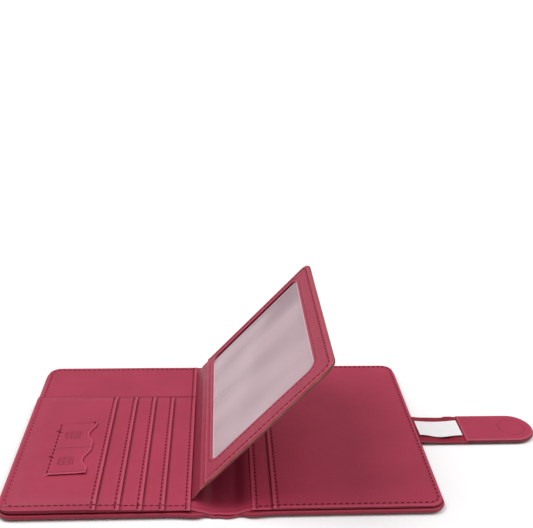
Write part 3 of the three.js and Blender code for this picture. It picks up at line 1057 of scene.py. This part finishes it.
def patch_rows():
    """The patch's seam, a slanted tack near the top of each cell, and a short one at a corner."""
    x0, x1, y0, y1, _, z1 = span("sim_patch")

    def surface(u, v):
        at_tail, at_right = patch_lift(u, v)
        return settled(z1, u, v) - 0.1 + 0.2 * at_tail + 0.3 * at_right

    seam, skew = x0 + PATCH_SEAM, patch_skew(x0 + PATCH_SEAM)
    rows = [inner_row([(seam, y0 + 1.5 + skew), (seam, y1 - 0.5 + skew)], surface, 0.0, width=0.6)]
    for k in (0.33, 1.34):
        level = y1 - k * (y1 - y0) / 2 + patch_skew(x0)
        tack = [(x0 - 0.5, level + 1.6), (x0 + 3.7, level - 1.6)]
        rows.append(stitch_row(tack, 4.8, 4.2, 0.6, surface))
    corner = y1 - 0.9 + patch_skew(x1)
    rows.append(stitch_row([(x1 - 2.4, corner), (x1 - 0.8, corner)], 1.5, 1.3, 1.1, surface))
    return rows


# ---------- panels on the back cover ----------

def right_surface(x, y):
    """Height of whatever leather is on top of the back cover's panels."""
    pocket = span("passport_pocket")
    slip = span("back_slip_panel")
    top = np.where(x >= pocket[0], pocket[5], slip[5])
    return top + ripple(x, y)


def back_sag(x, y, start):
    """How far a back panel stands off beside its free edge at start."""
    return 0.3 * (1.0 - smooth((x - start) / 14.0)) * (1.0 - (y / HALF_HEIGHT) ** 2)


def add_back_panel(node, name):
    """A back panel with a stitched free edge on its left, and that edge's stitches."""
    x0, _, y0, y1, z0, z1 = span(node)
    outline = half_outline(1, node, PANEL_TRIM, INNER_CORNER, inner=x0)
    hem, pocket_edge = HEM_SEAM + 0.3, span("passport_pocket")[0]
    x, y = outline.grid(INNER_STEP, near_x=[x0 + hem, pocket_edge])
    free = x - x0
    seam = outline.inset(x, y, FREE_SIDES)
    lie = ripple(x, y) + back_sag(x, y, x0)
    top, bottom = z1 + lie, z0 + lie
    top = top - 0.22 * groove(free - hem, 1.2) - 0.2 * groove(seam - SEAM_INSET, 1.3)
    top = rolled(top, bottom + 0.25 * (top - bottom), outline.inset(x, y), PANEL_ROUND)
    # Painted highlight on the free edge and rim, painted shade in the stitch grooves
    painted_light = 0.5 * groove(free - 0.8, 1.8) - 0.3 * groove(free - hem, 1.1)
    painted_light = painted_light + 0.3 * groove(seam - 0.7, 1.5) - 0.3 * groove(seam - SEAM_INSET, 1.2)
    # Painted shadow beside the passport pocket's free edge
    if x0 < pocket_edge:
        painted_light = painted_light - groove(x - pocket_edge + 0.4, 2.2)
    panel = add_plate(name, (x, y), top, bottom, inner_leather, painted_light, under=UNDER_SHADE)

    def surface(u, v):
        return z1 + ripple(u, v) + back_sag(u, v, x0)

    row = inner_row([(x0 + hem, y0 + 1.0), (x0 + hem, y1 - 1.0)], surface, 0.08)
    return panel, row


def build_back_panels():
    """The slip panel and the passport pocket inside the back cover."""
    rows = []
    for node, name in BACK_PANELS.items():
        panel, row = add_back_panel(node, name)
        stand_for(panel, "back_cover", node)
        rows.append(row)
    _, x1, y0, y1, _, _ = span("passport_pocket")
    inset = SEAM_INSET + PANEL_TRIM
    right, tail, head = x1 - inset + 0.8, y0 + inset, y1 - inset + 0.5
    rows.append(inner_row(three_sides(SLIP_EDGE, right, tail, head, SEAM_CORNER), right_surface))
    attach(add_thread("back_panel_thread", rows, inner_thread), "back_cover")


# ---------- page ----------

def on_page(points):
    """Reach along the page, width and height off its middle, as a place in the frame."""
    reach, width, height = points.T
    x = PAGE_FOLD[0] + reach * math.cos(PAGE_LEAN) - height * math.sin(PAGE_LEAN)
    z = PAGE_FOLD[2] + reach * math.sin(PAGE_LEAN) + height * math.cos(PAGE_LEAN)
    return np.stack([x, width, z], axis=1)


def page_sway(reach, width):
    """Slight bow of the standing page."""
    along = (reach - PAGE_START) / (PAGE_REACH - PAGE_START)
    return 0.5 * np.sin(math.pi * along) * (1.0 - (width / PAGE_HALF) ** 2)


def ring_points(outline):
    """Points round an outline, the same number for every outline."""
    arcs = []
    for quarter, corner in enumerate([(1, -1), (1, 1), (-1, 1), (-1, -1)]):
        angles = np.linspace(quarter - 1, quarter, ARC_POINTS) * math.pi / 2
        turn = np.stack([np.cos(angles), np.sin(angles)], axis=1)
        arcs.append(outline.centre(corner) + outline.radii[corner] * turn)
    points = []
    for arc, after in zip(arcs, arcs[1:] + arcs[:1]):
        points += [arc, np.linspace(arc[-1], after[0], SIDE_POINTS)[1:-1]]
    return np.concatenate(points)


def page_outline():
    """The page in plan, from its fold."""
    corners = {(1, -1): PAGE_CORNER, (1, 1): PAGE_CORNER, (-1, 1): 0.5, (-1, -1): 0.5}
    return Outline(PAGE_START, PAGE_REACH, -PAGE_HALF, PAGE_HALF, corners)


def window_outline():
    """The window in plan, from the page's fold."""
    corners = {(sx, sy): WINDOW_RADIUS for sx in (1, -1) for sy in (-1, 1)}
    return Outline(WINDOW_START, WINDOW_END, WINDOW_TAIL, WINDOW_HEAD, corners)


def frame_top(x, y):
    """Height of the page frame's face."""
    outer = page_outline().inset(x, y, FREE_SIDES)
    inner = -window_outline().inset(x, y)
    top = FRAME_TOP + page_sway(x, y) + 0.2 * groove(x - 6.5, 1.4)
    return top - 0.3 * groove(outer - PAGE_SEAM, 1.6) - 0.22 * groove(inner - WINDOW_SEAM, 1.3)


def ring_faces(rings, count):
    """Faces of a ring-shaped sheet whose two faces each have rings of count points."""
    total, last = rings * count, (rings - 1) * count
    faces = []
    for first in range(0, last, count):
        for j in range(count):
            a, b = first + j, first + (j + 1) % count
            faces.append((a, b, b + count, a + count))
            faces.append((a + total, a + count + total, b + count + total, b + total))
    for j in range(count):
        k = (j + 1) % count
        faces.append((k, j, j + total, k + total))
        faces.append((last + j, last + k, last + k + total, last + j + total))
    return faces


def build_page_frame():
    """The window frame: a ring of leather with seams round both edges."""
    outer, inner = page_outline(), window_outline()
    rim, hole = ring_points(outer), ring_points(inner)
    steps = np.concatenate([[0.0, 0.008, 0.025], np.linspace(0.055, 0.95, 28), [0.972, 0.99, 1.0]])
    rings = np.stack([rim + (hole - rim) * t for t in steps])
    x, y = rings[..., 0], rings[..., 1]
    d_outer, d_inner = outer.inset(x, y), np.maximum(-inner.inset(x, y), 0.0)
    low = FRAME_LOW + page_sway(x, y)
    edge = rounded(d_outer, 0.7) * rounded(d_inner + 0.02, 0.55)
    top = low + 0.12 + (frame_top(x, y) - low - 0.12) * edge
    # Painted highlights along both edges and on the ridge by the fold, painted shade in the seam grooves
    painted_light = 0.4 * groove(d_outer - 0.8, 1.8) + 0.45 * groove(d_inner - 0.5, 1.2)
    painted_light = painted_light - 0.25 * groove(outer.inset(x, y, FREE_SIDES) - PAGE_SEAM, 1.2)
    painted_light = painted_light - 0.2 * groove(d_inner - WINDOW_SEAM, 1.1) + 0.3 * groove(x - 6.4, 1.3)
    painted_lights = np.concatenate([painted_light.reshape(-1)] * 2)
    points, faces = stacked(x, y, top, low), ring_faces(*x.shape)
    piece = add_mesh("page_frame_leather", points, faces, inner_leather, painted_lights, on_page)
    stand_for(piece, "id_page", "page_frame")


def build_page_backing():
    """The plain leather back of the page."""
    outline = page_outline()
    x, y = outline.grid(PAGE_STEP)
    d, seam = outline.inset(x, y), outline.inset(x, y, FREE_SIDES)
    high = -FRAME_LOW + page_sway(x, y)
    low = -FRAME_TOP + page_sway(x, y) + 0.25 * groove(seam - PAGE_SEAM, 1.5)
    low = rolled(low, high - 0.1, d, 0.7)
    # Painted highlight on the rim and painted shade in the seam groove
    painted_light = 0.35 * groove(d - 0.8, 1.6) - 0.25 * groove(seam - PAGE_SEAM, 1.2)
    piece = add_plate("page_backing_leather", (x, y), high, low, inner_leather, painted_light, on_page)
    stand_for(piece, "id_page", "page_backing")


def build_film():
    """The window's film, gently wavy and a little short of the window's far side."""
    outline = Outline(WINDOW_START - 3.0, WINDOW_END + 3.0, WINDOW_TAIL - 3.0, WINDOW_HEAD - 1.5)
    near_x = [WINDOW_START + 0.5, WINDOW_END - 0.5]
    x, y = outline.grid(2.0, near_x=near_x, near_y=[WINDOW_TAIL + 0.5])
    window = window_outline()
    open_part = smooth(window.inset(x, y) / 6.0)
    rim = window.inset(x, y, ("left", "tail", "right"))
    # Painted highlight along the film's side edges and its head edge
    painted_rim_highlight = np.maximum(groove(rim - 0.5, 1.5), groove(outline.y1 - y - 0.4, 1.2))
    wave = 0.22 * np.sin((x * 0.8 + y) / 9.0) + 0.12 * np.sin((x - 0.4 * y) / 6.0 + 1.0)
    middle = page_sway(x, y) + wave * open_part * 0.6
    top, bottom = middle + FILM_HALF, middle - FILM_HALF
    piece = add_plate("window_film_sheet", (x, y), top, bottom, film_plastic, painted_rim_highlight, on_page)
    stand_for(piece, "id_page", "window_film")


def build_page_edge():
    """Painted edge round the page's three free sides."""
    start, end, side = PAGE_START + 0.4, PAGE_REACH - EDGE_INSET, PAGE_HALF - EDGE_INSET
    path = three_sides(start, end, -side, side, PAGE_CORNER - 0.3)
    run = run_along(path)
    marks = np.unique(np.concatenate([run, np.linspace(0, run[-1], 120)]))
    x, y, in_x, in_y = sampled(path, marks)
    angles = np.linspace(-math.pi / 2, math.pi / 2, 9)
    reach = np.concatenate([0.5 * np.cos(angles), [-0.6, -0.6]])
    height = np.concatenate([0.82 * np.sin(angles), [0.3, -0.3]])
    px = x[:, None] - in_x[:, None] * reach
    py = y[:, None] - in_y[:, None] * reach
    pz = page_sway(x, y)[:, None] + height
    points = np.stack([px, py, pz], axis=-1).reshape(-1, 3)
    sections, ring = px.shape
    faces = []
    for a in range(0, (sections - 1) * ring, ring):
        for j in range(ring):
            k = (j + 1) % ring
            faces.append((a + j, a + ring + j, a + ring + k, a + k))
    faces.append(tuple(range(ring)))
    faces.append(tuple(range(len(points) - 1, len(points) - ring - 1, -1)))
    # Painted shade on the lower half of the edge bead
    painted_light = np.broadcast_to(-smooth((0.35 - height) / 0.5), px.shape).reshape(-1)
    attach(add_mesh("page_edge_paint", points, faces, edge_paint, painted_light, on_page), "id_page")


def build_page_thread():
    """Both seams of the page frame and the seam on the page's back."""
    edge, side = PAGE_REACH - PAGE_SEAM, PAGE_HALF - PAGE_SEAM
    around = three_sides(THREAD_START, edge, -side, side, PAGE_CORNER - 2.0)
    left, right = WINDOW_START - WINDOW_SEAM, WINDOW_END + WINDOW_SEAM
    tail, head = WINDOW_TAIL - WINDOW_SEAM, WINDOW_HEAD + WINDOW_SEAM - 8.0
    window = rounded_path([(left, head), (left, tail), (right, tail), (right, head)], WINDOW_RADIUS + 1.5)

    def back(u, v):
        return -FRAME_TOP + page_sway(u, v)

    rows = [
        inner_row(around, frame_top, 0.05),
        inner_row(window, frame_top, 0.05, length=1.3, width=0.45),
        inner_row(around, back, -0.15, up=-1.0),
    ]
    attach(add_thread("page_thread", rows, inner_thread, on_page), "id_page")


def strip(name, centre, painted_light_at):
    """A length of the page's hinge whose cross-section follows centre, points in x and z."""
    centre = np.array(centre)
    length = run_along(centre)[-1]
    marks = np.linspace(0.0, length, max(6, int(length / 0.35)))
    cx, cz, nx, nz = sampled(centre, marks)
    ys = lines(-PAGE_HALF, PAGE_HALF, PAGE_STEP)
    edge = np.minimum(PAGE_HALF - ys, ys + PAGE_HALF)
    half = HINGE_THICKNESS / 2 * (0.15 + 0.85 * rounded(edge, 0.6))
    points = []
    for sign in (1.0, -1.0):
        x = cx[:, None] + sign * nx[:, None] * half
        z = cz[:, None] + sign * nz[:, None] * half
        points.append(np.stack([x, np.broadcast_to(ys, x.shape), z], axis=-1).reshape(-1, 3))
    # Painted light along the strip, from the given function
    painted_light = np.tile(np.repeat(painted_light_at(marks), len(ys)), 2)
    faces = [face[::-1] for face in closed_faces(len(marks), len(ys))]
    piece = add_mesh(name, np.concatenate(points), faces, inner_leather, painted_light)
    paint_edge(piece, edge_paint, lambda face: abs(face.center.y) > (PAGE_HALF - 0.3) * MM)
    return piece


def bend_hinge(piece, start, end):
    """Bakes a piece's placement into its points; start and end, points in x and z, are turned into metres
    and not used further.
    """
    start, end = [(x * MM, 0, z * MM) for x, z in (start, end)]
    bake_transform(piece)
    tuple(start)
    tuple(end)


def build_page_hinge():
    """The page's flexible hinge strip, from the gutter up to the frame."""
    fold_x, _, fold_z = PAGE_FOLD
    base_z = joints["page_press"]["pos_m"][2] / MM

    def along(reach):
        return fold_x + reach * math.cos(PAGE_LEAN), fold_z + reach * math.sin(PAGE_LEAN)

    foot = (fold_x - 3.0, base_z)
    shin = (fold_x - 1.2, (base_z + fold_z) / 2 + 0.3)
    tab = along(HINGE_TURN / 2)
    knee_path = [shin, (fold_x + 0.2, fold_z - 0.2), along(0.9), tab]
    flap_path = [tab, along(PAGE_START + 0.4)]
    # Painted shade over the hinge in the gutter, and a painted highlight on the flap's ridge
    root = strip("page_hinge_root", [foot, shin], lambda m: np.full(len(m), -0.6))
    knee = strip("page_hinge_knee", knee_path, lambda m: np.full(len(m), -0.5))
    flap = strip("page_hinge_flap", flap_path, lambda m: 0.45 * groove(m - 0.9, 1.2) - 0.15)
    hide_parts("page_welt")
    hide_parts("page_tab")
    bend_hinge(root, foot, shin)
    bend_hinge(knee, shin, tab)
    bend_hinge(flap, tab, along(PAGE_START))


# ---------- strap ----------

def strap_drop(x):
    """How far the thin part of the strap sags between the cover and the tab."""
    return -0.75 * np.sin(math.pi * np.clip((x - 109.0) / 23.0, 0.0, 1.0))


def strap_piece(name, x0, x1):
    """A length of the thin strap."""
    outline = Outline(x0, x1, -STRAP_HALF, STRAP_HALF)
    x, y = outline.grid(1.6, near_x=list(np.arange(x0 + STRAP_STEP, x1, STRAP_STEP)))
    d = outline.inset(x, y, ("tail", "head"))
    wave = 0.12 * np.sin(x / 2.4 + y / 5.0) * smooth((x - 109.5) / 4.0)
    middle = STRAP_LEVEL + strap_drop(x) + wave
    half = STRAP_PLY * (0.2 + 0.8 * rounded(d, 0.7))
    # Painted highlight along the long edges; the whole strip a little darker
    painted_light = 0.35 * groove(d - 0.7, 1.5) - 0.2
    piece = add_plate(name, (x, y), middle + half, middle - half, outer_leather, painted_light)
    paint_edge(piece, strap_edge, lambda face: abs(face.normal.y) > 0.5)
    return piece


def tab_outline(start, tip, half):
    """The snap tab's outline, with a round end."""
    radius = half - 0.01
    return Outline(start, tip, -half, half, {(1, -1): radius, (1, 1): radius})


def magnet_ring(x, y):
    """Distance beyond the magnet's rim, and how fully a point lies over the magnet."""
    beyond = np.hypot(x - MAGNET_X, y) - MAGNET_RADIUS
    return beyond, 1.0 - smooth((beyond - 0.2) / 0.5)


def add_tab_outer():
    """The tab's outer leather, which thins down into the strap."""
    outline = tab_outline(TAB_START, STRAP_TIP, STRAP_HALF)
    near_x = list(np.arange(TAB_START + STRAP_STEP, 140.9, STRAP_STEP))
    x, y = outline.grid(TAB_STEP, near_x=near_x)
    d = outline.inset(x, y, FREE_SIDES)
    on_tab = smooth((x - 127.6) / 6.8)
    thin = STRAP_LEVEL + strap_drop(x)
    high = thin + STRAP_PLY + (1.84 - thin - STRAP_PLY) * on_tab
    low = thin - STRAP_PLY + (0.8 - thin + STRAP_PLY) * on_tab
    middle = (high + low) / 2
    low = middle + (low - middle) * (0.4 + 0.6 * rounded(d, 0.5))
    high = high + (1.4 - high) * magnet_ring(x, y)[1]
    # Painted highlight along the edges; darker towards the tab's start
    painted_light = 0.6 * groove(d - 0.3, 0.9) - 0.2 * (1.0 - smooth((x - TAB_START) / 9.0))
    return add_plate("strap_tab_outer_leather", (x, y), high, low, outer_leather, painted_light)


def add_tab_lining():
    """The tab's lining, raised in a ring round the magnet."""
    outline = tab_outline(TAB_LINING_START, STRAP_TIP - 0.2, STRAP_HALF - 0.25)
    x, y = outline.grid(TAB_STEP)
    d = outline.inset(x, y)
    beyond, over_magnet = magnet_ring(x, y)
    high = 2.0 + 0.82 * rounded(d, 0.8) + 0.06 * over_magnet - 0.14 * groove(beyond - 0.4, 1.6)
    low = 1.9 + 0.4 * over_magnet
    # Painted highlight on the rim and painted shade in the groove round the magnet
    painted_light = 0.4 * groove(d - 0.8, 1.6) - 0.35 * groove(beyond - 0.4, 1.4)
    return add_plate("strap_tab_lining_leather", (x, y), high, low, inner_leather, painted_light)


def build_strap():
    """The strap from under the back cover's edge to its snap tab."""
    root = strap_piece("strap_root_leather", STRAP_START, STRAP_FOLD)
    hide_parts("strap_anchor", "strap_root")
    bend(root, "back_cover", "strap_root", *ROOT_BEND)
    middle = strap_piece("strap_middle_leather", STRAP_FOLD, TAB_START)
    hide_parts("strap_bend")
    bend(middle, "strap_root", "strap_bend", *FOLD_BEND)

    def on_tab_side(face):
        return abs(face.normal.z) < 0.6 and face.center.x > 134.5 * MM

    tab_pieces = (
        (add_tab_outer(), "strap_tab_outer", "outer_leather"),
        (add_tab_lining(), "strap_tab_lining", "inner_leather"),
    )
    for piece, node, slot in tab_pieces:
        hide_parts(node)
        paint_edge(piece, strap_edge, on_tab_side)
        bend(piece, "strap_bend", "strap_tab", *TAB_BEND)


def build_label():
    """The blank woven label on the strap, loose at its tail edge."""
    x0, x1 = span("label_sewn_half")[0] - 0.9, span("label_free_half")[1] + 1.0
    y0, y1 = span("label_sewn_half")[2:4]
    x, y = Outline(x0, x1, y0, y1).grid(0.8)
    share = (x - x0) / (x1 - x0)
    loose = (y1 - y) / (y1 - y0)
    sag = np.exp(-((share - 0.6) / 0.22) ** 2) * loose
    middle = STRAP_LEVEL + strap_drop(x) + 0.8 + 0.55 * loose ** 2 + 0.3 * sag
    middle = middle + 0.3 * np.sin(3.4 * math.pi * share + 0.6) * loose ** 2
    plan = (x, y - 1.5 * sag)
    label = add_plate("woven_label_cloth", plan, middle + LABEL_PLY, middle - LABEL_PLY, woven_label)
    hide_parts("label_sewn_half", "label_free_half")
    bend(label, "strap_root", "strap_bend", *FOLD_BEND)


# ---------- carried-over nodes, stage, light and camera ----------

def dress_nodes():
    """Materials for the CAD nodes that are shown as they are."""
    board, steel = make_board(), make_steel()
    for node, material, slot in (
        ("plane_emblem", gold_foil, "gold_foil"),
        ("front_foam", foam, "foam"),
        ("back_foam", foam, "foam"),
        ("front_board", board, "board"),
        ("back_board", board, "board"),
        ("snap_keeper", steel, "snap_steel"),
        ("snap_magnet", steel, "snap_steel"),
    ):
        piece = frame["nodes"][node]
        piece.data.materials.clear()
        piece.data.materials.append(material)


def build_stage():
    """A large pale floor just under the wallet."""
    ends = ((-1, -1), (1, -1), (1, 1), (-1, 1))
    corners = [(sx * FLOOR_REACH, sy * FLOOR_REACH, FLOOR_LEVEL) for sx, sy in ends]
    add_mesh("floor", corners, [(0, 1, 2, 3)], make_floor())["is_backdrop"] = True


def add_sun(name, toward, softness, strength):
    """A distant soft light that shines from the direction toward."""
    light = bpy.data.lights.new(name, "SUN")
    light.angle = math.radians(softness)
    light.energy = strength
    obj = bpy.data.objects.new(name, light)
    obj.rotation_euler = Vector(toward).to_track_quat("Z", "Y").to_euler()
    bpy.context.scene.collection.objects.link(obj)


def build_lights():
    """Soft studio light from the upper left with even light all round."""
    world = bpy.data.worlds.new("studio")
    world.use_nodes = True
    background = world.node_tree.nodes["Background"]
    background.inputs["Color"].default_value = (1.0, 1.0, 1.0, 1.0)
    background.inputs["Strength"].default_value = WORLD_STRENGTH
    bpy.context.scene.world = world
    add_sun("key", toward=(-0.55, 0.2, 0.8), softness=45.0, strength=1.9)
    add_sun("overhead", toward=(0.5, -0.1, 0.9), softness=50.0, strength=1.6)


def build_camera():
    """A camera at the photographed viewing angle."""
    data = bpy.data.cameras.new("camera")
    data.sensor_fit = "HORIZONTAL"
    data.sensor_width = 36.0
    data.lens = CAMERA_LENS
    data.clip_start = 0.01
    data.clip_end = 50.0
    camera = bpy.data.objects.new("camera", data)
    heading = Matrix.Rotation(math.radians(CAMERA_HEADING), 4, "Z")
    tilt = Matrix.Rotation(math.radians(90.0 - CAMERA_DOWN), 4, "X")
    roll = Matrix.Rotation(math.radians(CAMERA_ROLL), 4, "Z")
    camera.matrix_world = Matrix.Translation(CAMERA_PLACE) @ heading @ tilt @ roll
    bpy.context.scene.collection.objects.link(camera)
    bpy.context.scene.camera = camera


bpy.context.scene.view_settings.view_transform = "Standard"
build_camera()
build_lights()
build_stage()
cloth_rise = blow_up()
for cover_side in (-1, 1):
    build_cover(cover_side)
    build_lining(cover_side)
build_front_panels()
build_chip_patch()
build_back_panels()
build_page_frame()
build_page_backing()
build_film()
build_page_edge()
build_page_thread()
build_page_hinge()
build_strap()
build_label()
dress_nodes()

boxes = {"cad": cad_box, "visual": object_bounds()}
{key: [list(low), list(high)] for key, (low, high) in boxes.items()}
